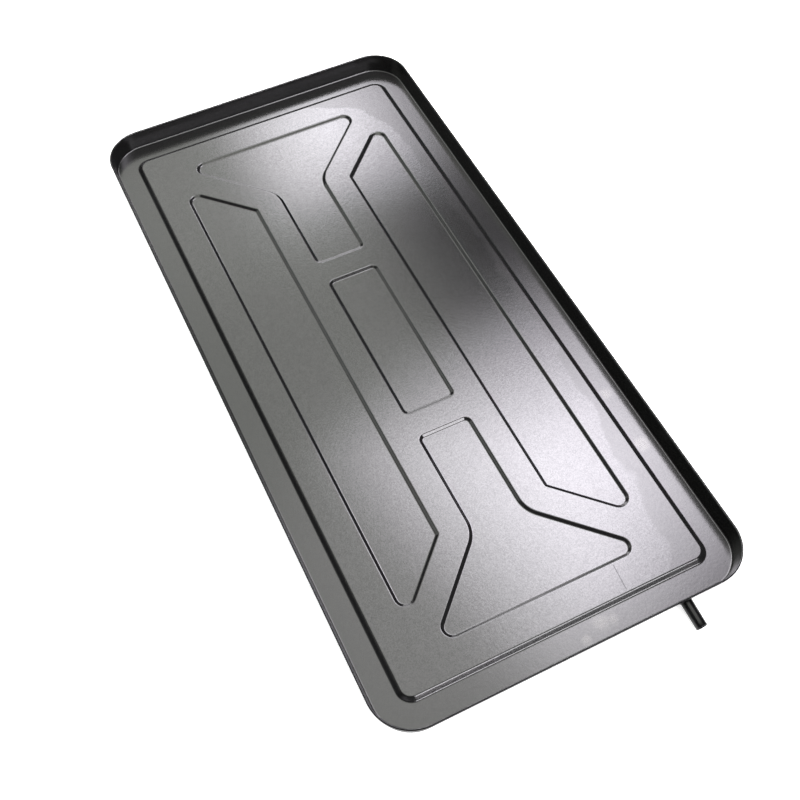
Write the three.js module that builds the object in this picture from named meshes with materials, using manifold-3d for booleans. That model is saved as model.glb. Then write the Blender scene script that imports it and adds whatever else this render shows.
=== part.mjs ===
import * as THREE from 'three';
import { LoftGeometry } from 'three/addons/geometries/LoftGeometry.js';
import { mergeVertices } from 'three/addons/utils/BufferGeometryUtils.js';
import Module from 'manifold-3d';

// A shallow drain pan: one pressed sheet with a folded rim, a raised floor inside a gutter,
// five pressed panels, and a drain tube welded through the front wall.
// Millimetres. X runs across, Y along, Z up. The origin is on the ground, under the middle of
// the whole length with the drain tube included.

const panWidth = 432;
const panLength = 889;
const panHeight = 25;
const sheet = 1;

// Wall and rim
const rimCorner = 48; // corner radius at the rim's outer edge
const wallDraft = THREE.MathUtils.degToRad(8.5);
const floorBend = 1.5; // inside radius between floor and wall
const hemDepth = 5.5; // how far the folded edge comes back down
const hemSlit = 0.4; // air between the wall and the folded edge

// Raised floor
const plateauMarginX = 39; // rim edge to the raised floor's top edge, across
const plateauMarginY = 40; // the same, along
const plateauRise = 4;
const plateauRun = 7; // sideways length of its sloping step
const plateauCorner = 11;

// Pressed panels, sunk into the raised floor
const panelSink = 2.6;
const panelRun = 4.6;
const panelBorder = 34; // plateau edge to the panels
const panelWeb = 31.5; // raised strip between panels
const neckHalfWidth = 33.7;
const neckEnd = 139.6; // centre of the pan to a funnel's narrow end
const shoulder = 272.5; // centre of the pan to where a funnel starts to widen
const centreHalfLength = 110;
const neckCorner = 9;
const tipCorner = 12.8; // at the 45 degree tips
const shoulderCurve = 34;
const kneeCorner = 5.6; // the blunt corner of a side panel

// Drain tube
const tubeOuter = 12.7;
const tubeWall = 1;
const tubeX = 127;
const tubeTilt = THREE.MathUtils.degToRad(5);
const tubeReach = 27.5; // past the rim's outer edge
const tubeClearance = 0.8; // its lowest edge over the ground
const beadLeg = 1.5;

const fit = 0.3; // air between pieces that touch
const past = 2; // how far a cutter runs past what it cuts
const arcSteps = 10; // around a rim corner
const bendSteps = 6;
const foldSteps = 6;
const stepRings = 4; // rings down a pressed step
const panelSteps = 6; // around a panel's corner
const tubeSides = 32;
const quarter = Math.PI / 2;

const wasm = await Module();
wasm.setup();

function toSolid(geometry) {
  const bare = new THREE.BufferGeometry().copy(geometry);
  bare.deleteAttribute('normal');
  bare.deleteAttribute('uv');
  const merged = mergeVertices(bare, 1e-5);
  const mesh = new wasm.Mesh({
    numProp: 3,
    vertProperties: merged.attributes.position.array,
    triVerts: new Uint32Array(merged.index.array),
  });
  return new wasm.Manifold(mesh);
}

function toMesh(name, solid, material) {
  const { vertProperties, triVerts } = solid.getMesh();
  const geometry = new THREE.BufferGeometry();
  geometry.setAttribute('position', new THREE.BufferAttribute(vertProperties, 3));
  geometry.setIndex(new THREE.BufferAttribute(triVerts, 1));
  geometry.computeVertexNormals();
  const mesh = new THREE.Mesh(geometry, material);
  mesh.name = name;
  return mesh;
}

// A closed outline with its corners rounded. Growing it moves every side out by the same
// distance, about the same corner centres. Corners run counterclockwise.
function outline(corners, grow, steps) {
  const points = [];
  corners.forEach((corner, i) => {
    const here = new THREE.Vector2(corner.x, corner.y);
    const before = corners.at(i - 1);
    const after = corners[(i + 1) % corners.length];
    const arriving = here.clone().sub(before).normalize();
    const leaving = new THREE.Vector2(after.x, after.y).sub(here).normalize();
    const turn = Math.atan2(arriving.cross(leaving), arriving.dot(leaving));
    const side = Math.sign(turn);
    const setBack = corner.r * Math.tan(Math.abs(turn) / 2);
    const start = arriving.angle() - side * quarter;
    const centre = here.clone().addScaledVector(arriving, -setBack);
    centre.addScaledVector(new THREE.Vector2(-arriving.y, arriving.x), side * corner.r);
    const radius = corner.r + side * grow;
    for (let k = 0; k <= steps; k++) {
      const angle = start + (turn * k) / steps;
      const spoke = new THREE.Vector2(Math.cos(angle), Math.sin(angle));
      points.push(centre.clone().addScaledVector(spoke, radius));
    }
  });
  return points;
}

// A stack of rings, each an outline grown by `grow` at height `z`.
function stack(corners, rings, steps, options = { capStart: true, capEnd: true }) {
  const sections = rings.map(({ grow, z }) =>
    outline(corners, grow, steps).map((p) => new THREE.Vector3(p.x, p.y, z)));
  return toSolid(new LoftGeometry(sections, options));
}

function rectangle(halfWidth, halfLength, r) {
  return [
    { x: halfWidth, y: -halfLength, r },
    { x: halfWidth, y: halfLength, r },
    { x: -halfWidth, y: halfLength, r },
    { x: -halfWidth, y: -halfLength, r },
  ];
}

function mirrored(corners, flipX, flipY) {
  const copy = corners.map(({ x, y, r }) => ({ x: x * flipX, y: y * flipY, r }));
  return flipX * flipY < 0 ? copy.reverse() : copy;
}

// An S-shaped pressed step, from height `low` to `high` while the outline grows from `from` to `to`.
function pressedStep(low, high, from, to) {
  const rings = [];
  for (let k = 0; k <= stepRings; k++) {
    const f = k / stepRings;
    const ease = (1 - Math.cos(Math.PI * f)) / 2;
    rings.push({ grow: from + (to - from) * f, z: low + (high - low) * ease });
  }
  return rings;
}

// The wall in section: `inset` from the rim's outermost edge, and height.
const rim = rectangle(panWidth / 2, panLength / 2, rimCorner);
const foldRadius = sheet + hemSlit / 2;
const foldCentre = new THREE.Vector2(foldRadius, panHeight - foldRadius);
const inward = new THREE.Vector2(Math.cos(wallDraft), Math.sin(wallDraft));
const upWall = new THREE.Vector2(-Math.sin(wallDraft), Math.cos(wallDraft));
const bendCentreZ = sheet + floorBend;
const wallFoot = foldCentre.clone().addScaledVector(inward, foldRadius + floorBend);
const bendDrop = (bendCentreZ - wallFoot.y) / upWall.y;
const bendCentre = wallFoot.clone().addScaledVector(upWall, bendDrop);
const bendSweep = quarter - wallDraft;

function around(centre, radius, from, to, steps) {
  const points = [];
  for (let k = 0; k <= steps; k++) {
    const angle = from + ((to - from) * k) / steps;
    points.push(new THREE.Vector2(Math.cos(angle), Math.sin(angle)).multiplyScalar(radius).add(centre));
  }
  return points;
}

function toRings(points) {
  return points.map((p) => ({ grow: -p.x, z: p.y }));
}

// Everything inside the pan's inner face, grown by `skin`: the basin at 0, the outside at `sheet`.
function basin(skin) {
  const bend = around(bendCentre, floorBend + skin, -quarter, -quarter - bendSweep, bendSteps);
  const top = bend.at(-1).clone().addScaledVector(upWall, panHeight);
  return stack(rim, toRings([...bend, top]), arcSteps);
}

function rimAndWall() {
  const overFold = Math.PI + wallDraft;
  const floorEnd = bendCentre.x + 2 * past;
  const downHem = (p) => p.clone().addScaledVector(upWall, -hemDepth);
  const slit = around(foldCentre, hemSlit / 2, wallDraft, overFold, foldSteps / 2);
  const fold = around(foldCentre, foldRadius, overFold, wallDraft, foldSteps);
  const section = [
    new THREE.Vector2(floorEnd, 0),
    ...around(bendCentre, floorBend + sheet, -quarter, -quarter - bendSweep, bendSteps),
    ...slit,
    downHem(slit.at(-1)),
    downHem(fold[0]),
    ...fold,
    ...around(bendCentre, floorBend, -quarter - bendSweep, -quarter, bendSteps),
    new THREE.Vector2(floorEnd, sheet),
    new THREE.Vector2(floorEnd, 0),
  ];
  return stack(rim, toRings(section), arcSteps, {});
}

// Panel outlines, each at the level of the raised floor.
const plateau = rectangle(panWidth / 2 - plateauMarginX, panLength / 2 - plateauMarginY, plateauCorner);
const funnelBase = panLength / 2 - plateauMarginY - panelBorder;
const sideOuter = panWidth / 2 - plateauMarginX - panelBorder;
const sideInner = neckHalfWidth + panelWeb;
const knee = shoulder + panelWeb - panelWeb * Math.SQRT2;
const sideTip = knee + sideOuter - sideInner;
const baseHalfWidth = neckHalfWidth + funnelBase - shoulder;

const funnel = [
  { x: neckHalfWidth, y: neckEnd, r: neckCorner },
  { x: neckHalfWidth, y: shoulder, r: shoulderCurve },
  { x: baseHalfWidth, y: funnelBase, r: tipCorner },
  { x: -baseHalfWidth, y: funnelBase, r: tipCorner },
  { x: -neckHalfWidth, y: shoulder, r: shoulderCurve },
  { x: -neckHalfWidth, y: neckEnd, r: neckCorner },
];

const sidePanel = [
  { x: sideOuter, y: -sideTip, r: tipCorner },
  { x: sideOuter, y: sideTip, r: tipCorner },
  { x: sideInner, y: knee, r: kneeCorner },
  { x: sideInner, y: -knee, r: kneeCorner },
];

const panels = [
  rectangle(neckHalfWidth, centreHalfLength, neckCorner),
  funnel,
  mirrored(funnel, 1, -1),
  sidePanel,
  mirrored(sidePanel, -1, 1),
];

// How far a bend line moves on the sheet's under side, so that the sheet keeps its thickness.
function mitre(rise, run) {
  return sheet * Math.tan(Math.atan2(rise, run) / 2);
}

const plateauFace = sheet + plateauRise;

function panelPocket(corners) {
  const rings = pressedStep(plateauFace - panelSink, plateauFace, -panelRun, 0);
  return stack(corners, [...rings, { grow: 0, z: plateauFace + past }], panelSteps);
}

// The same panel on the under side, where it stands down into the hollow.
function panelBoss(corners) {
  const shift = mitre(panelSink, panelRun);
  const rings = pressedStep(plateauRise - panelSink, plateauRise, shift - panelRun, shift);
  return stack(corners, [...rings, { grow: shift, z: plateauRise + sheet / 2 }], panelSteps);
}

function plateauBlock() {
  const rings = pressedStep(sheet, plateauFace, plateauRun, 0);
  return stack(plateau, [{ grow: plateauRun, z: 0 }, ...rings], arcSteps);
}

function plateauHollow() {
  const shift = mitre(plateauRise, plateauRun);
  const rings = pressedStep(0, plateauRise, plateauRun - shift, -shift);
  return stack(plateau, [{ grow: plateauRun - shift, z: -past }, ...rings], arcSteps);
}

function floorPlate() {
  const grow = -bendCentre.x - past;
  return stack(rim, [{ grow, z: 0 }, { grow, z: sheet }], arcSteps);
}

// The drain tube is placed by the middle of its open end. From there it rises into the pan.
const tubeRadius = tubeOuter / 2;
const tubeEndZ = tubeClearance + tubeRadius * Math.cos(tubeTilt);
const tubeEnd = new THREE.Vector3(tubeX, -panLength / 2 - tubeReach, tubeEndZ);
const tubeLength = tubeReach + bendCentre.x + floorBend;

// A round piece on the drain's axis, hollow if it has an inner radius, `start` past the open end.
function alongDrain(inner, outer, start = 0) {
  const profile = [
    new THREE.Vector2(inner, start),
    new THREE.Vector2(outer, start),
    new THREE.Vector2(outer, tubeLength),
    new THREE.Vector2(inner, tubeLength),
  ];
  if (inner > 0) profile.push(profile[0].clone());
  const geometry = new THREE.LatheGeometry(profile, tubeSides);
  geometry.rotateX(tubeTilt);
  geometry.translate(...tubeEnd);
  return toSolid(geometry);
}

function panShell() {
  let hollow = plateauHollow();
  let shell = rimAndWall().add(floorPlate()).add(plateauBlock());
  for (const corners of panels) {
    hollow = hollow.subtract(panelBoss(corners));
    shell = shell.subtract(panelPocket(corners));
  }
  const drainHole = alongDrain(0, tubeRadius + fit);
  const hemNotch = alongDrain(0, tubeRadius + beadLeg + fit).subtract(basin(sheet + hemSlit / 2));
  return shell.subtract(hollow).subtract(drainHole).subtract(hemNotch);
}

function drainTube() {
  return alongDrain(tubeRadius - tubeWall, tubeRadius).subtract(basin(0));
}

// The weld follows the wall's outer face round the tube.
function weldBead() {
  const ring = alongDrain(tubeRadius + fit, tubeRadius + beadLeg, beadLeg);
  return ring.intersect(basin(sheet + beadLeg)).subtract(basin(sheet + fit));
}

const enamel = new THREE.MeshStandardMaterial({ color: 0x3b3b3e, roughness: 0.32, metalness: 0.4 });
const blackTube = new THREE.MeshStandardMaterial({ color: 0x141414, roughness: 0.3, metalness: 0.3 });
const weldMetal = new THREE.MeshStandardMaterial({ color: 0x232324, roughness: 0.45, metalness: 0.4 });

const drainPan = new THREE.Group();
drainPan.position.y = (tubeReach + tubeRadius * Math.sin(tubeTilt)) / 2;
drainPan.add(toMesh('pan_shell', panShell(), enamel));
drainPan.add(toMesh('drain_tube', drainTube(), blackTube));
drainPan.add(toMesh('weld_bead', weldBead(), weldMetal));

export default drainPan;
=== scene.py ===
import math

import bmesh
import bpy
from mathutils import Matrix, Vector, kdtree, noise
from mathutils.geometry import area_tri, delaunay_2d_cdt


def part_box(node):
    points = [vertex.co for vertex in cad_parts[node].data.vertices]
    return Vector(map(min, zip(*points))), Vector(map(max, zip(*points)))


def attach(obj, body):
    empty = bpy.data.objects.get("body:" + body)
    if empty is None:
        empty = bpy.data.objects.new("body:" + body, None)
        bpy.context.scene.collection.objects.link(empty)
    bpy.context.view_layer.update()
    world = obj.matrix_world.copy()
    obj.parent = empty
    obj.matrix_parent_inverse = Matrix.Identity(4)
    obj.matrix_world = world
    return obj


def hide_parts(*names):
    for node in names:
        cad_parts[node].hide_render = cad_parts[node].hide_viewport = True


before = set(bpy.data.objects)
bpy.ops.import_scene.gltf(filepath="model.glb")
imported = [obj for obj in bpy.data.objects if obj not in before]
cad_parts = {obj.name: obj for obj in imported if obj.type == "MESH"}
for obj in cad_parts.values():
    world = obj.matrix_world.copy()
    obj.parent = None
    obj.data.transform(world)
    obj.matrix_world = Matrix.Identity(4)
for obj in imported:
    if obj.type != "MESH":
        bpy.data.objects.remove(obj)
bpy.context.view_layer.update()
print("frame loaded")

# Metres throughout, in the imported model's frame: +Y runs along the pan away from the drain, +Z is up.
quarterTurn = math.pi / 2
scene = bpy.context.scene
shellLow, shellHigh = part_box("pan_shell")
tubeLow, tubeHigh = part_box("drain_tube")

pan = {
    "centre": (shellLow + shellHigh) / 2,
    "halfWidth": (shellHigh.x - shellLow.x) / 2,
    "halfLength": (shellHigh.y - shellLow.y) / 2,
    "height": shellHigh.z,
    "sheet": 0.001,
    "rimCorner": 0.048,
    "wallDraft": math.radians(8.5),
    "floorBend": 0.0015,  # inside radius between floor and wall
    "hemDepth": 0.0055,
    "hemSlit": 0.0004,
    "sidePitch": 0.012,  # spacing of points along the straight sides
    "fillPitch": 0.011,  # spacing of points across the flats
    "fillClear": 0.55,  # the part of that pitch kept clear of an edge
    "sliver": 1e-4,  # a flatter triangle is only three points of one straight side
    "arcSteps": 22,
    "bendSteps": 12,
    "foldSteps": 18,
    "wallSteps": 4,
    "stepBend": 0.26,  # the part of a step's run that each of its bends takes
    "edge": 0.0005,  # flat strip beside every bend, which keeps the flats flat
}

plateau = {
    "marginX": 0.039,  # rim edge to the raised floor's top edge
    "marginY": 0.040,
    "rise": 0.004,
    "run": 0.007,
    "corner": 0.011,
    "steps": 14,
    "sag": 0.00012,  # slow waves left in the sheet by the press
    "sagLength": 0.16,
}

panel = {
    "sink": 0.0026,
    "run": 0.0046,
    "border": 0.034,  # plateau edge to the panels
    "web": 0.0315,  # raised strip between panels
    "neckHalfWidth": 0.0337,
    "neckEnd": 0.1396,
    "shoulder": 0.2725,
    "centreHalfLength": 0.110,
    "neckCorner": 0.009,
    "tipCorner": 0.0128,
    "shoulderCurve": 0.034,
    "kneeCorner": 0.0056,
    "steps": 12,
}


def cornerArc(corners, i, grow, steps):
    before, here, after = (Vector(corners[(i + k) % len(corners)][:2]) for k in (-1, 0, 1))
    radius = corners[i][2]
    arriving, leaving = (here - before).normalized(), (after - here).normalized()
    turn = math.atan2(arriving.x * leaving.y - arriving.y * leaving.x, arriving.dot(leaving))
    side = math.copysign(1, turn)
    toCentre = Vector((-arriving.y, arriving.x)) * side
    centre = here - arriving * radius * math.tan(abs(turn) / 2) + toCentre * radius
    start = math.atan2(-toCentre.y, -toCentre.x)
    angles = [start + turn * k / steps for k in range(steps + 1)]
    return [centre + Vector((math.cos(a), math.sin(a))) * (radius + side * grow) for a in angles]


def sideCounts(corners, pitch):
    arcs = [cornerArc(corners, i, 0, 1) for i in range(len(corners))]
    gaps = [(arcs[(i + 1) % len(arcs)][0] - arc[-1]).length for i, arc in enumerate(arcs)]
    return [max(1, round(gap / pitch)) for gap in gaps]


# A closed outline with round corners, every side moved out by grow, with the same points for any grow.
def outline(corners, grow, counts):
    arcs = [cornerArc(corners, i, grow, pan["arcSteps"]) for i in range(len(corners))]
    points = []
    for i, arc in enumerate(arcs):
        points += arc
        ahead = arcs[(i + 1) % len(arcs)][0]
        points += [arc[-1].lerp(ahead, k / counts[i]) for k in range(1, counts[i])]
    return points


def rectangle(halfWidth, halfLength, radius):
    signs = ((1, -1), (1, 1), (-1, 1), (-1, -1))
    return [(sx * halfWidth, sy * halfLength, radius) for sx, sy in signs]


def mirrored(corners, flipX, flipY):
    copy = [(x * flipX, y * flipY, r) for x, y, r in corners]
    return copy[::-1] if flipX * flipY < 0 else copy


def arcProfile(centre, radius, start, end, steps):
    angles = [start + (end - start) * k / steps for k in range(steps + 1)]
    return [centre + Vector((math.cos(a), math.sin(a))) * radius for a in angles]


# The wall in section, as (distance in from the rim's edge, height): its two directions and its two bends.
def wallShape(p):
    draft = p["wallDraft"]
    inward = Vector((math.cos(draft), math.sin(draft)))
    upWall = Vector((-math.sin(draft), math.cos(draft)))
    foldRadius = p["sheet"] + p["hemSlit"] / 2
    foldCentre = Vector((foldRadius, p["height"] - foldRadius))
    foot = foldCentre + inward * (foldRadius + p["floorBend"])
    bendCentre = foot + upWall * (p["sheet"] + p["floorBend"] - foot.y) / upWall.y
    return inward, upWall, foldRadius, foldCentre, bendCentre


# The pan's inner face in section, from the hem's lower edge over the fold and down to the floor.
def wallSection(p):
    draft = p["wallDraft"]
    _, upWall, foldRadius, foldCentre, bendCentre = wallShape(p)
    fold = arcProfile(foldCentre, foldRadius, math.pi + draft, draft, p["foldSteps"])
    bend = arcProfile(bendCentre, p["floorBend"], math.pi + draft, 3 * quarterTurn, p["bendSteps"])
    hem = [fold[0] - upWall * p["hemDepth"] * k / 3 for k in (3, 2, 1)]
    wall = [fold[-1].lerp(bend[0], k / p["wallSteps"]) for k in range(1, p["wallSteps"])]
    return hem + fold + wall + bend


# How far down a pressed step is at a fraction of its run: a straight slope between two round bends.
def easeStep(part):
    near = min(max(part, 0), 1)
    if near > 0.5:
        return 1 - easeStep(1 - near)
    bend, slope = pan["stepBend"], 1 / (1 - pan["stepBend"])
    return slope * near * near / (2 * bend) if near < bend else slope * (near - bend / 2)


def stepParts(p):
    edge = pan["edge"] / p["run"]
    return [-edge] + [k / p["steps"] for k in range(p["steps"] + 1)] + [1 + edge]


def addRing(mesh, corners, counts, grow, z):
    return [mesh.verts.new((p.x, p.y, z)) for p in outline(corners, grow, counts)]


def joinRings(mesh, first, second):
    for i in range(len(first)):
        j = (i + 1) % len(first)
        mesh.faces.new((first[i], first[j], second[j], second[i]))


def insideLoops(point, loops):
    inside = False
    for loop in loops:
        for a, b in zip(loop, loop[1:] + loop[:1]):
            if (a.y > point.y) != (b.y > point.y):
                if point.x < a.x + (b.x - a.x) * (point.y - a.y) / (b.y - a.y):
                    inside = not inside
    return inside


# Fills a flat between rings of vertices with even triangles.
def fillFlat(mesh, rings, pitch):
    z = rings[0][0].co.z
    loops = [[v.co.xy for v in ring] for ring in rings]
    edgeVerts = [v for ring in rings for v in ring]
    tree = kdtree.KDTree(len(edgeVerts))
    for i, v in enumerate(edgeVerts):
        tree.insert((v.co.x, v.co.y, 0), i)
    tree.balance()
    low = Vector((min(p.x for p in loops[0]), min(p.y for p in loops[0])))
    high = Vector((max(p.x for p in loops[0]), max(p.y for p in loops[0])))
    rowPitch = pitch * math.sqrt(3) / 2
    columns, rows = math.ceil((high.x - low.x) / pitch), math.ceil((high.y - low.y) / rowPitch)
    inner = []
    for row in range(rows):
        for column in range(columns):
            point = low + Vector(((column + row % 2 / 2) * pitch, row * rowPitch))
            clear = tree.find((point.x, point.y, 0))[2] > pitch * pan["fillClear"]
            if clear and insideLoops(point, loops):
                inner.append(point)
    verts = edgeVerts + [mesh.verts.new((p.x, p.y, z)) for p in inner]
    edges, start = [], 0
    for ring in rings:
        count = len(ring)
        edges += [(start + i, start + (i + 1) % count) for i in range(count)]
        start += count
    flat = delaunay_2d_cdt([v.co.xy for v in verts], edges, [], 0, 1e-7, True)
    source = [ids[0] for ids in flat[3]]
    for face in flat[2]:
        a, b, c = (flat[0][i] for i in face)
        longest = max((a - b).length, (b - c).length, (c - a).length)
        sliver = area_tri(a, b, c) < pan["sliver"] * longest**2
        if not sliver and insideLoops((a + b + c) / 3, loops):
            mesh.faces.new([verts[source[i]] for i in face])


# Half the raised floor's width and length at its top edge.
def plateauHalves():
    return pan["halfWidth"] - plateau["marginX"], pan["halfLength"] - plateau["marginY"]


def panelOutlines(p):
    halfX, halfY = plateauHalves()
    neck, shoulder, tip = p["neckHalfWidth"], p["shoulder"], p["tipCorner"]
    base = halfY - p["border"]
    baseHalf = neck + base - shoulder
    right = [
        (neck, p["neckEnd"], p["neckCorner"]),
        (neck, shoulder, p["shoulderCurve"]),
        (baseHalf, base, tip),
    ]
    funnel = right + [(-x, y, r) for x, y, r in reversed(right)]
    outer, inner = halfX - p["border"], neck + p["web"]
    knee = shoulder + p["web"] * (1 - math.sqrt(2))
    tipY = knee + outer - inner
    side = [(outer, -tipY, tip), (outer, tipY, tip)]
    side += [(inner, knee, p["kneeCorner"]), (inner, -knee, p["kneeCorner"])]
    centre = rectangle(neck, p["centreHalfLength"], p["neckCorner"])
    return [centre, funnel, mirrored(funnel, 1, -1), side, mirrored(side, -1, 1)]


def newPiece(name, mesh, material=None):
    data = bpy.data.meshes.new(name)
    mesh.to_mesh(data)
    mesh.free()
    if material:
        data.materials.append(material)
    piece = bpy.data.objects.new(name, data)
    scene.collection.objects.link(piece)
    return piece


def applyModifiers(piece):
    shaped = piece.evaluated_get(bpy.context.evaluated_depsgraph_get())
    done = bpy.data.meshes.new_from_object(shaped)
    piece.modifiers.clear()
    old, piece.data = piece.data, done
    bpy.data.meshes.remove(old)


def buildPanSheet(material):
    mesh = bmesh.new()
    rim = rectangle(pan["halfWidth"], pan["halfLength"], pan["rimCorner"])
    halfX, halfY = plateauHalves()
    top = rectangle(halfX, halfY, plateau["corner"])
    counts = sideCounts(rim, pan["sidePitch"])
    section = wallSection(pan)
    rings = [addRing(mesh, rim, counts, -p.x, p.y) for p in section]
    rings.append(addRing(mesh, rim, counts, -section[-1].x - pan["edge"], pan["sheet"]))
    for part in stepParts(plateau):
        z = pan["sheet"] + plateau["rise"] * easeStep(part)
        rings.append(addRing(mesh, top, counts, plateau["run"] * (1 - part), z))
    for first, second in zip(rings, rings[1:]):
        joinRings(mesh, first, second)
    face = pan["sheet"] + plateau["rise"]
    panelRings = []
    for corners in panelOutlines(panel):
        counts = sideCounts(corners, pan["sidePitch"])
        sunk = []
        for part in stepParts(panel):
            z = face - panel["sink"] * easeStep(part)
            sunk.append(addRing(mesh, corners, counts, -panel["run"] * part, z))
        for first, second in zip(sunk, sunk[1:]):
            joinRings(mesh, first, second)
        fillFlat(mesh, [sunk[-1]], pan["fillPitch"])
        panelRings.append(sunk[0])
    fillFlat(mesh, [rings[-1]] + panelRings, pan["fillPitch"])
    for v in mesh.verts:
        edge = min(halfX - abs(v.co.x), halfY - abs(v.co.y))
        if edge > 0:
            wave = noise.noise(Vector((v.co.x, v.co.y, 0)) / plateau["sagLength"])
            v.co.z += wave * plateau["sag"] * min(1, edge / plateau["marginX"])
    bmesh.ops.recalc_face_normals(mesh, faces=mesh.faces)
    mesh.faces.ensure_lookup_table()
    flattest = max(mesh.faces, key=lambda f: abs(f.normal.z))
    if flattest.normal.z < 0:
        bmesh.ops.reverse_faces(mesh, faces=mesh.faces)
    bmesh.ops.translate(mesh, verts=mesh.verts, vec=(pan["centre"].x, pan["centre"].y, 0))
    piece = newPiece("pan_sheet", mesh, material)
    thick = piece.modifiers.new("sheet", "SOLIDIFY")
    thick.thickness, thick.offset, thick.use_even_offset = pan["sheet"], -1, True
    applyModifiers(piece)
    return piece


# The drain tube goes through the front wall, open end down a little, with a weld round it outside.
drain = {
    "x": (tubeLow.x + tubeHigh.x) / 2,
    "radius": (tubeHigh.x - tubeLow.x) / 2,
    "wall": 0.001,
    "tilt": math.radians(5),
    "deburr": 0.00022,
    "cutRound": 0.3,  # how round the deburred corner is, 0 for square
    "lip": 0.0003,  # stands past the wall's inner face
    "sides": 96,
    "weldLeg": 0.0014,
    "weldSunk": 0.0001,  # how far its edges go into the tube and the wall
    "weldUneven": 0.06,
    "weldCrown": (0.78, 0.62),  # where the crown's control point stands, in legs out and back
    "ripples": 27,
    "rippleDepth": 0.13,
    "rippleSides": 324,
    "rippleSteps": 10,
}
drainInward = Vector((0, math.cos(drain["tilt"]), math.sin(drain["tilt"])))
drainUp = Vector((0, -math.sin(drain["tilt"]), math.cos(drain["tilt"])))
drainEnd = Vector((
    drain["x"],
    tubeLow.y + drain["radius"] * math.sin(drain["tilt"]),
    tubeLow.z + drain["radius"] * math.cos(drain["tilt"]),
))


def drainPoint(angle, radius, along):
    across = Vector((1, 0, 0)) * math.cos(angle) + drainUp * math.sin(angle)
    return drainEnd + across * radius + drainInward * along


# Is a point on the liquid's side of the front wall, its inner face moved out by skin?
def insidePan(point, skin):
    inward, upWall, foldRadius, foldCentre, bendCentre = wallShape(pan)
    onWall = foldCentre + inward * foldRadius
    spot = Vector((point.y - shellLow.y, point.z))
    if (spot - bendCentre).dot(upWall) > 0:
        return (spot - onWall).dot(inward) > -skin
    if spot.x > bendCentre.x:
        return spot.y > pan["sheet"] - skin
    return (spot - bendCentre).length < pan["floorBend"] + skin


# How far along the drain a line at this angle and radius meets the wall.
def reachWall(angle, radius, skin):
    outside, inside = 0, (shellLow.y - tubeLow.y) + pan["height"]
    for _ in range(40):
        middle = (outside + inside) / 2
        if insidePan(drainPoint(angle, radius, middle), skin):
            inside = middle
        else:
            outside = middle
    return inside


def loftRings(name, rings, material):
    mesh = bmesh.new()
    made = [[mesh.verts.new(p) for p in ring] for ring in rings]
    for first, second in zip(made, made[1:] + made[:1]):
        joinRings(mesh, first, second)
    bmesh.ops.recalc_face_normals(mesh, faces=mesh.faces)
    return newPiece(name, mesh, material)


def buildDrainTube(material):
    outer, inner, deburr = drain["radius"], drain["radius"] - drain["wall"], drain["deburr"]
    rings = []
    for k in range(drain["sides"]):
        angle = 2 * math.pi * k / drain["sides"]
        outerEnd = reachWall(angle, outer, 0) + drain["lip"]
        innerEnd = reachWall(angle, inner, 0) + drain["lip"]
        section = [(inner + deburr, 0), (outer - deburr, 0)]
        section += [(outer - deburr * drain["cutRound"], deburr * drain["cutRound"]), (outer, deburr)]
        section += [(outer, outerEnd * t) for t in (0.25, 0.5, 0.75)]
        section += [(outer, outerEnd - deburr), (outer - deburr, outerEnd)]
        section += [(inner + deburr, innerEnd), (inner, innerEnd - deburr)]
        section += [(inner, innerEnd * t) for t in (0.75, 0.5, 0.25)] + [(inner, deburr)]
        rings.append([drainPoint(angle, radius, along) for radius, along in section])
    return loftRings("drain_tube_fine", rings, material)


def buildWeld(material):
    radius, leg = drain["radius"], drain["weldLeg"]
    sunk, (crownOut, crownBack) = drain["weldSunk"], drain["weldCrown"]
    rings = []
    for k in range(drain["rippleSides"]):
        angle = 2 * math.pi * k / drain["rippleSides"]
        crest = abs(math.sin(drain["ripples"] * angle / 2)) ** 0.5
        uneven = drain["weldUneven"] * math.sin(3 * angle + 1)
        size = leg * (1 - drain["rippleDepth"] * (1 - crest)) * (1 - uneven)
        root = reachWall(angle, radius, pan["sheet"])
        start = Vector((radius - sunk, root - size))
        end = Vector((radius + size, reachWall(angle, radius + size, pan["sheet"]) + sunk))
        crown = Vector((radius + size * crownOut, root - size * crownBack))
        section = [Vector((radius - sunk, root + sunk))]
        for step in range(drain["rippleSteps"] + 1):
            t = step / drain["rippleSteps"]
            section.append(start.lerp(crown, t).lerp(crown.lerp(end, t), t))
        rings.append([drainPoint(angle, p.x, p.y) for p in section])
    return loftRings("weld_fillet", rings, material)


def cutDrainHole(sheet):
    radius = drain["radius"] - drain["deburr"]
    cutter = bmesh.new()
    bmesh.ops.create_cone(
        cutter, cap_ends=True, segments=drain["sides"], radius1=radius, radius2=radius, depth=2 * radius)
    turn = drainInward.to_track_quat("Z", "Y").to_matrix().to_4x4()
    middle = drainPoint(0, 0, reachWall(0, radius, pan["sheet"] / 2))
    cutter.transform(Matrix.Translation(middle) @ turn)
    tool = newPiece("hole_cutter", cutter)
    cut = sheet.modifiers.new("drain hole", "BOOLEAN")
    cut.object, cut.solver = tool, "EXACT"
    applyModifiers(sheet)
    bpy.data.objects.remove(tool)


def smoothUnder(piece, degrees):
    piece.data.shade_smooth()
    piece.data.set_sharp_from_angle(angle=math.radians(degrees))


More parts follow.
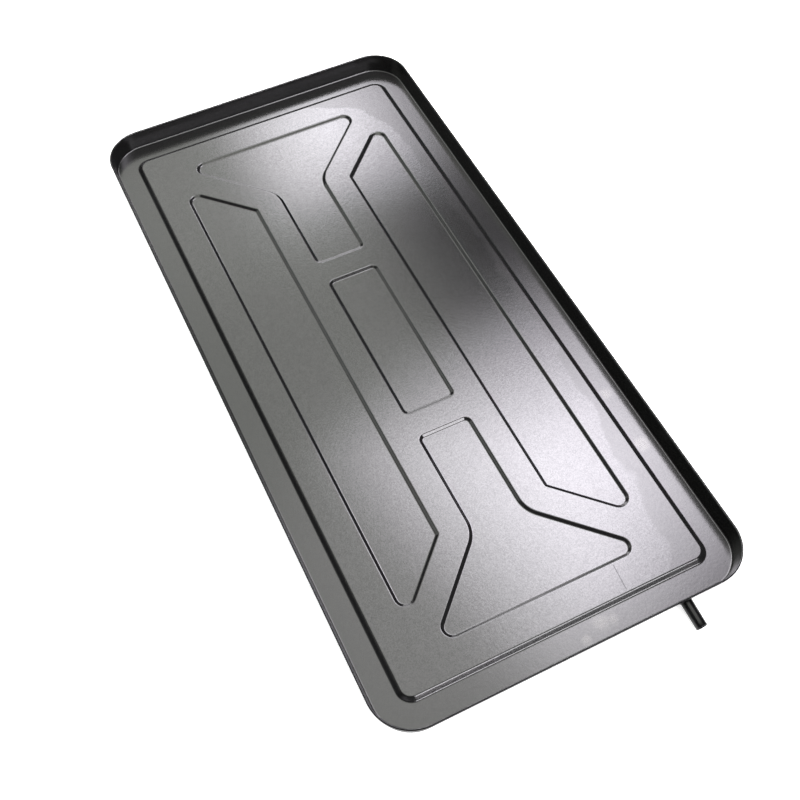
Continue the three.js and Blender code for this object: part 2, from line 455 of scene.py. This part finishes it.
# A socket that adds its own Math nodes when it is used in an expression.
class Link:
    def __init__(self, maker, socket):
        self.maker, self.socket = maker, socket

    def math(self, operation, *others, first=None):
        values = (self, *others) if first is None else (first, self)
        return self.maker.node("Math", {"operation": operation}, **{str(k): v for k, v in enumerate(values)})

    def __add__(self, other):
        return self.math("ADD", other)

    def __sub__(self, other):
        return self.math("SUBTRACT", other)

    def __rsub__(self, other):
        return self.math("SUBTRACT", first=other)

    def __mul__(self, other):
        return self.math("MULTIPLY", other)

    def __truediv__(self, other):
        return self.math("DIVIDE", other)

    __radd__, __rmul__ = __add__, __mul__

    def power(self, other):
        return self.math("POWER", other)

    def size(self):
        return self.math("ABSOLUTE")

    def most(self, other):
        return self.math("MAXIMUM", other)

    # 0 at low, 1 at high, with a smooth start and end.
    def over(self, low, high):
        settings = {"interpolation_type": "SMOOTHSTEP"}
        return self.maker.node("MapRange", settings, Value=self, From_Min=low, From_Max=high)


def fillRamp(ramp, stops):
    ramp.interpolation = "CARDINAL"
    while len(ramp.elements) < len(stops):
        ramp.elements.new(1)
    for element, (place, colour) in zip(ramp.elements, stops):
        element.position, element.color = place, colour


class NodeMaker:
    def __init__(self, tree):
        self.tree = tree

    # A node of any type: its settings first, then its sockets by name or by number.
    def node(self, kind, settings=None, out=0, **values):
        made = self.tree.nodes.new("ShaderNode" + kind)
        for name, value in (settings or {}).items():
            if name == "stops":
                fillRamp(made.color_ramp, value)
            else:
                setattr(made, name, value)
        for name, value in values.items():
            self.plug(made.inputs[int(name) if name.isdigit() else name.replace("_", " ")], value)
        return Link(self, made.outputs[out])

    def plug(self, slot, value):
        if isinstance(value, Link):
            self.tree.links.new(value.socket, slot)
        else:
            slot.default_value = value


class Finish(NodeMaker):
    def __init__(self, name, **shader):
        self.material = bpy.data.materials.new(name)
        self.material.use_nodes = True
        super().__init__(self.material.node_tree)
        self.shader = self.tree.nodes["Principled BSDF"]
        for slot, value in shader.items():
            self.set(slot, value)
        self.place = self.node("TexCoord", out="Object")

    def set(self, slot, value):
        self.plug(self.shader.inputs[slot.replace("_", " ")], value)

    def noise(self, scale, detail=2.0, roughness=0.5, place=None):
        place = place or self.place
        return self.node("TexNoise", out="Fac", Vector=place, Scale=scale, Detail=detail, Roughness=roughness)

    def stretched(self, scale):
        return self.node("Mapping", Vector=self.place, Scale=scale)

    def blend(self, factor, low, high):
        return self.node("Mix", {"data_type": "RGBA"}, out=2, **{"0": factor, "6": low, "7": high})

    # A smooth curve of numbers through (place, level) points.
    def curve(self, value, points):
        stops = [(place, (level, level, level, 1)) for place, level in points]
        return self.node("ValToRGB", {"stops": stops}, Fac=value)

    def bump(self, height, distance, under=None):
        below = {"Normal": under} if under else {}
        return self.node("Bump", Height=height, Distance=distance, **below)

    def axes(self, vector):
        split = self.node("SeparateXYZ", Vector=vector).socket.node
        return [Link(self, out) for out in split.outputs]


enamel = {
    "colour": (0.0475, 0.0475, 0.048, 1),
    "flake": (0.041, 0.041, 0.042, 1),  # between the metal flakes in the paint
    "speck": (0.014, 0.014, 0.015, 1),
    "film": (0.056, 0.056, 0.057, 1),
    # painted shade: near-black for the outer and under faces, so they stay as dark as if they reflected a
    # dark room, though the floor below is white
    "outside": (0.011, 0.011, 0.0115, 1),
    "rubbed": (0.15, 0.15, 0.155, 1),  # thin paint on the rim's crest
    "dust": (0.30, 0.295, 0.28, 1),
    "metallic": 0.85,
    # painted shade: fully metallic on the outer and under faces, so their dark colour also darkens what they
    # reflect
    "paintedShadeMetallic": 1.0,
    "roughness": 0.19,
    "roughnessSpread": 0.06,
    "outsideRoughness": 0.18,  # added to the inside's
    "hemZone": (0.006, 0.004),  # under the rim: nothing below the first depth, full above the second
    "crestZone": (0.0012, 0.0002),  # the same, for the crest where the paint wears
    "wear": 0.4,
    "flakeScales": (680, 170),
    "flakeShares": (0.8, 0.2),
    "speckScale": 520,
    "speckStrength": 0.75,
    "cloudScale": 9,
    "smudgeScale": 38,
    "wanderScale": 14,
    "wearScale": 260,
    "peelScale": 330,
    "peelDepth": 0.00004,
    "grainScale": 800,
    "grainDepth": 0.000012,
    "filmShine": 0.03,  # how much smoother the dried film is than the bare enamel
    "filmWander": 0.05,  # how far the film's edge strays
    "filmFray": 0.012,
    "filmSoft": 0.002,
    "dustStrength": 0.2,
    "dustRoughness": 0.12,
    "scratchWidth": (0.0002, 0.0006),  # full strength to nothing, each side
    "scratchEnd": 0.002,
    "scratchStrength": 0.5,
    "scratchRoughness": 0.1,
    "scratch": ((0.0831, -0.3715), (0.0808, -0.4035)),
    "dustSpots": (
        (0.040, -0.421, 0.011), (0.052, -0.423, 0.007), (0.016, -0.430, 0.006), (0.191, -0.185, 0.008),
        (0.192, -0.259, 0.010)),
}

# How far the dried film reaches across the raised floor, as (y, x) from the pan's middle.
filmEdge = (
    (-0.44, 0.118), (-0.36, 0.150), (-0.25, 0.158), (-0.16, 0.165), (0.03, 0.171), (0.12, 0.165),
    (0.22, 0.172), (0.33, 0.148), (0.38, 0.115), (0.41, 0.054))


def enamelFinish(look):
    finish = Finish("gunmetal_enamel", IOR=1.5)
    x, y, z = finish.axes(finish.place)
    x, y = x - pan["centre"].x, y - pan["centre"].y
    facing = finish.axes(finish.node("NewGeometry", out="Normal"))
    outward = facing[0] * x * (1 / pan["halfWidth"]) + facing[1] * y * (1 / pan["halfLength"])
    # Mask for the painted shade: outer faces near the rim, and every face turned down
    rimZone = z.over(*(pan["height"] - depth for depth in look["hemZone"]))
    outside = (outward.over(-0.6, 0.05) * rimZone).most((facing[2] * -1).over(-0.02, 0.08))

    peel = finish.noise(look["peelScale"], 2.5, 0.55)
    grain = finish.noise(look["grainScale"], 3, 0.65)
    cloud = finish.noise(look["cloudScale"], 4, 0.55)
    smudge = finish.noise(look["smudgeScale"], 5, 0.6)
    wander = finish.noise(look["wanderScale"], 4, 0.6)

    wholeLength = 2 * pan["halfLength"]
    edgePoints = [(place / wholeLength + 0.5, level) for place, level in filmEdge]
    reach = finish.curve(y / wholeLength + 0.5, edgePoints)
    fromEdge = reach - x + (wander - 0.5) * look["filmWander"] + (grain - 0.5) * look["filmFray"]
    film = fromEdge.over(-look["filmSoft"], look["filmSoft"]) * z.over(0.0012, 0.0016)  # not in the gutter

    specks = finish.noise(look["speckScale"], 3, 0.75).over(0.62, 0.72) * smudge.over(0.40, 0.65)
    dust = None
    for spotX, spotY, radius in look["dustSpots"]:
        away = ((x - spotX).power(2) + (y - spotY).power(2)).power(0.5) / radius
        spot = (1 - (away + (smudge - 0.5) * 1.6).over(0.2, 1.2)) * grain.over(0.2, 0.9)
        dust = spot if dust is None else dust.most(spot)
    (startX, startY), (endX, endY) = look["scratch"]
    length = math.dist((startX, startY), (endX, endY))
    aheadX, aheadY = (endX - startX) / length, (endY - startY) / length
    along = (x - startX) * aheadX + (y - startY) * aheadY
    across = ((x - startX) * -aheadY + (y - startY) * aheadX).size()
    scratchBody = (1 - across.over(*look["scratchWidth"])) * along.over(0, look["scratchEnd"])
    scratch = scratchBody * (1 - along.over(length - look["scratchEnd"], length))

    crest = z.over(*(pan["height"] - depth for depth in look["crestZone"]))
    wear = crest * finish.noise(look["wearScale"], 3, 0.6).over(0.42, 0.62) * (1 - outside)
    fine, broad = look["flakeScales"]
    fineShare, broadShare = look["flakeShares"]
    flakes = finish.noise(fine, 4, 0.8) * fineShare + finish.noise(broad, 3, 0.7) * broadShare
    flakes = flakes.over(0.36, 0.62)
    colour = finish.blend(flakes, look["flake"], finish.blend(film, look["colour"], look["film"]))
    marks = specks * look["speckStrength"] + scratch * look["scratchStrength"]
    colour = finish.blend(marks, colour, look["speck"])
    colour = finish.blend(dust * look["dustStrength"], colour, look["dust"])
    colour = finish.blend(wear * look["wear"], colour, look["rubbed"])
    # painted shade: the masked outer and under faces are coloured near black
    finish.set("Base_Color", finish.blend(outside, colour, look["outside"]))
    plain = look["metallic"]
    # painted shade: fully metallic on those faces; less metallic where there is dust
    finish.set("Metallic", plain + outside * (look["paintedShadeMetallic"] - plain) - dust * 0.3)
    rough = (cloud - 0.5) * look["roughnessSpread"] + look["roughness"] - film * look["filmShine"]
    rough = rough + dust * look["dustRoughness"] + outside * look["outsideRoughness"]
    finish.set("Roughness", rough + scratch * look["scratchRoughness"])
    orange = finish.bump(peel, look["peelDepth"])
    finish.set("Normal", finish.bump(grain - scratch * 2, look["grainDepth"], under=orange))
    return finish.material


tubeEnamel = {
    "colour": (0.003, 0.003, 0.0033, 1),
    "roughness": (0.16, 0.12),  # least, and how much more
    "drawScale": 60,
    "drawStretch": (12, 0.6, 12),  # long marks down the tube
    "peelScale": 700,
    "peelDepth": 0.00001,
}


def blackFinish(look):
    finish = Finish("black_enamel", Base_Color=look["colour"], IOR=1.36)
    drawn = finish.noise(look["drawScale"], 3, 0.6, finish.stretched(look["drawStretch"]))
    peel = finish.noise(look["peelScale"], 2, 0.5)
    least, spread = look["roughness"]
    finish.set("Roughness", drawn * spread + least)
    finish.set("Normal", finish.bump(peel, look["peelDepth"]))
    return finish.material


weldPaint = {
    "dark": (0.005, 0.005, 0.0055, 1),
    "pale": (0.02, 0.02, 0.021, 1),
    "roughness": (0.3, 0.25),
    "mottleScale": 500,
    "spatterScale": 1100,
    "spatterDepth": 0.00005,
}


def weldFinish(look):
    finish = Finish("painted_weld")
    mottle = finish.noise(look["mottleScale"], 3, 0.6)
    least, spread = look["roughness"]
    finish.set("Base_Color", finish.blend(mottle, look["dark"], look["pale"]))
    finish.set("Roughness", mottle * spread + least)
    finish.set("Normal", finish.bump(finish.noise(look["spatterScale"], 3, 0.6), look["spatterDepth"]))
    return finish.material


panSheet = buildPanSheet(enamelFinish(enamel))
cutDrainHole(panSheet)
smoothUnder(panSheet, 35)
print("sheet", len(panSheet.data.polygons))
drainTube = buildDrainTube(blackFinish(tubeEnamel))
smoothUnder(drainTube, 35)
weldFillet = buildWeld(weldFinish(weldPaint))
smoothUnder(weldFillet, 50)
print("drain and weld")

for piece, node, finishSlot in (
    (panSheet, "pan_shell", "gunmetal_enamel"),
    (drainTube, "drain_tube", "black_enamel"),
    (weldFillet, "weld_bead", "painted_weld"),
):
    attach(piece, "root")
    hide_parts(node)


studio = {
    "floorSize": 40,
    "floorColour": (0.9, 0.9, 0.9, 1),
    "floorGlow": 0.85,
    "world": (0.05, 0.05, 0.051, 1),  # the dark room round the lights
    "backdrop": (0.82, 0.82, 0.82, 1),
    "layers": 5,  # panels laid over each other make one light with a soft edge
    # name: (centre, what it faces, turn, width, length, soft edge, radiance, colour)
    "lights": {
        "key": ((0.80, 0.42, 1.6), (0.80, 0.42, 0), 15, 0.74, 0.68, 0.80, 19.5, (0.975, 0.935, 1.0)),
        "far": ((0.70, 1.96, 1.6), (0.70, 1.96, 0), 0, 0.46, 0.48, 0.56, 20, (0.975, 0.945, 1.0)),
        "ceiling": ((-0.09, 0.87, 1.61), (-0.09, 0.87, 0), 0, 1.54, 3.24, 0.60, 2.85, (0.975, 1.0, 0.92)),
        "front": ((0.95, -3.0, 2.5), (0.3, 0, 0), 0, 2.2, 1.3, 0.2, 13, (1.0, 0.98, 1.0)),
        "back": ((0.9, 3.2, 1.0), (0.9, 0, 1.0), 0, 2.2, 1.8, 0.2, 5, (1.0, 0.99, 1.0)),
        "nearGlow": ((0.28, 0.2, 1.62), (0.28, 0.2, 0), 0, 0.9, 0.8, 0.7, 1.1, (1.0, 0.93, 1.0)),
        "farGlow": ((0.02, 1.85, 1.62), (0.02, 1.85, 0), 0, 0.7, 0.7, 0.6, 0.9, (0.99, 1.0, 0.95)),
        "left": ((-3.0, 1.8, 1.5), (0, 0.4, 0), 0, 3.2, 1.4, 0.2, 1.4, (0.97, 1.0, 0.93)),
    },
}


def addLight(name, place, facing, turn, width, length, edge, radiance, colour):
    ahead = Vector(facing) - Vector(place)
    aim = ahead.to_track_quat("-Z", "Y").to_matrix().to_4x4() @ Matrix.Rotation(math.radians(turn), 4, "Z")
    layers = studio["layers"]
    for k in range(layers):
        wider = edge * (k / (layers - 1) - 0.5)
        light = bpy.data.lights.new(name, "AREA")
        light.shape, light.size, light.size_y = "RECTANGLE", width + wider, length + wider
        light.energy = radiance / layers * math.pi * light.size * light.size_y
        light.color = colour
        lamp = bpy.data.objects.new(name, light)
        lamp.matrix_world = Matrix.Translation(place) @ aim @ Matrix.Translation((0, 0, -0.001 * k))
        scene.collection.objects.link(lamp)


def buildStudio(look):
    mesh = bmesh.new()
    bmesh.ops.create_grid(mesh, x_segments=1, y_segments=1, size=look["floorSize"] / 2)
    paper = Finish("studio_paper", Base_Color=look["floorColour"], Roughness=0.9)
    paper.set("Emission_Color", look["floorColour"])
    paper.set("Emission_Strength", look["floorGlow"])
    newPiece("studio_floor", mesh, paper.material)
    for name, settings in look["lights"].items():
        addLight(name, *settings)
    scene.world = bpy.data.worlds.new("studio")
    scene.world.use_nodes = True
    room = NodeMaker(scene.world.node_tree)
    room.tree.nodes.remove(room.tree.nodes["Background"])
    dark = room.node("Background", Color=look["world"])
    pale = room.node("Background", Color=look["backdrop"])
    seen = room.node("LightPath", out="Is Camera Ray")
    both = room.node("MixShader", **{"0": seen, "1": dark, "2": pale})
    room.plug(room.tree.nodes["World Output"].inputs["Surface"], both)


view = {
    "target": (-0.0274, -0.0707, 0),
    "azimuth": math.radians(-25.6),  # 0 looks along +Y
    "elevation": math.radians(57.67),
    "roll": math.radians(-0.50),
    "distance": 1.2721,
    "lens": 49.13,
}


def buildCamera(look):
    azimuth, elevation = look["azimuth"], look["elevation"]
    flat = math.cos(elevation)
    ahead = Vector((-math.sin(azimuth) * flat, math.cos(azimuth) * flat, -math.sin(elevation)))
    camera = bpy.data.objects.new("camera", bpy.data.cameras.new("camera"))
    camera.data.lens = look["lens"]
    camera.data.clip_end = 50
    turn = ahead.to_track_quat("-Z", "Y").to_matrix().to_4x4() @ Matrix.Rotation(look["roll"], 4, "Z")
    camera.matrix_world = Matrix.Translation(Vector(look["target"]) - ahead * look["distance"]) @ turn
    scene.collection.objects.link(camera)
    scene.camera = camera


buildStudio(studio)
buildCamera(view)
scene.view_settings.view_transform = "Standard"
print("studio")
